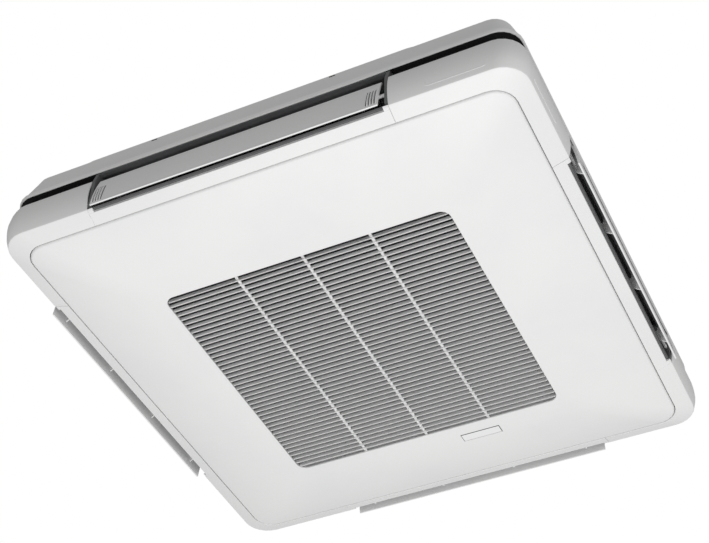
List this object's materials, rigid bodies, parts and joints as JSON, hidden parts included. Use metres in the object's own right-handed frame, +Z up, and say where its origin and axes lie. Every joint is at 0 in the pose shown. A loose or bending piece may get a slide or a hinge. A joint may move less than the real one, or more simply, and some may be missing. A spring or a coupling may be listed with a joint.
{
  "type": "ceiling-suspended four-way air conditioner indoor unit",
  "caption": "Square ceiling-suspended air conditioner with a domed louvred suction panel that swings down and a hinged flap in the outlet on each side.",
  "frame": {"origin": "centre of the top face, where the unit meets the ceiling", "axes": "+Z up towards the ceiling, -Y the front edge where the suction panel is hinged, +X to the right seen from the front"},
  "size_m": [0.964, 0.964, 0.198],
  "materials": {
    "white_plastic": "fine satin",
    "grille_plastic": "fine satin",
    "dark_duct": "matt dark grey",
    "black_foam": "dull black",
    "galvanised_steel": "zinc coated",
    "pan_foam": "moulded foam",
    "aluminium_fins": "fine fins"
  },
  "bodies": {
    "unit": {"top_casing": "white_plastic", "top_plate": "galvanised_steel", "hanger_bracket_front_left": "galvanised_steel", "hanger_bracket_front_right": "galvanised_steel", "hanger_bracket_back_left": "galvanised_steel", "hanger_bracket_back_right": "galvanised_steel", "corner_cover_front_left": "white_plastic", "corner_cover_front_right": "white_plastic", "corner_cover_back_left": "white_plastic", "corner_cover_back_right": "white_plastic", "corner_liner_front_left": "black_foam", "corner_liner_front_right": "black_foam", "corner_liner_back_left": "black_foam", "corner_liner_back_right": "black_foam", "outlet_duct_front": "dark_duct", "outlet_duct_right": "dark_duct", "outlet_duct_back": "dark_duct", "outlet_duct_left": "dark_duct", "outlet_rail_front": "white_plastic", "outlet_rail_right": "white_plastic", "outlet_rail_back": "white_plastic", "outlet_rail_left": "white_plastic", "under_frame": "grille_plastic", "panel_hinge_arm_left": "galvanised_steel", "panel_hinge_arm_right": "galvanised_steel", "drain_pan": "pan_foam", "bell_mouth": "dark_duct", "fan_wheel": "dark_duct", "fan_motor": "galvanised_steel", "heat_exchanger": "aluminium_fins", "control_box": "galvanised_steel"},
    "panel": {"suction_panel": "white_plastic", "suction_grille": "grille_plastic", "air_filter": "black_foam"},
    "flap_front": {"air_flap_front": "white_plastic"},
    "flap_right": {"air_flap_right": "white_plastic"},
    "flap_back": {"air_flap_back": "white_plastic"},
    "flap_left": {"air_flap_left": "white_plastic"}
  },
  "joints": [
    {"name": "panel_hinge", "type": "hinge", "parent": "unit", "child": "panel", "pos_m": [0, -0.4216, -0.1705], "axis": [-1, 0, 0], "range_deg": [0, 90]},
    {"name": "flap_front_hinge", "type": "hinge", "parent": "unit", "child": "flap_front", "pos_m": [-0.02, -0.464, -0.125], "axis": [-1, 0, 0], "range_deg": [0, 80]},
    {"name": "flap_right_hinge", "type": "hinge", "parent": "unit", "child": "flap_right", "pos_m": [0.464, 0.02, -0.125], "axis": [0, -1, 0], "range_deg": [0, 80]},
    {"name": "flap_back_hinge", "type": "hinge", "parent": "unit", "child": "flap_back", "pos_m": [0.02, 0.464, -0.125], "axis": [1, 0, 0], "range_deg": [0, 80]},
    {"name": "flap_left_hinge", "type": "hinge", "parent": "unit", "child": "flap_left", "pos_m": [-0.464, -0.02, -0.125], "axis": [0, 1, 0], "range_deg": [0, 80]}
  ]
}
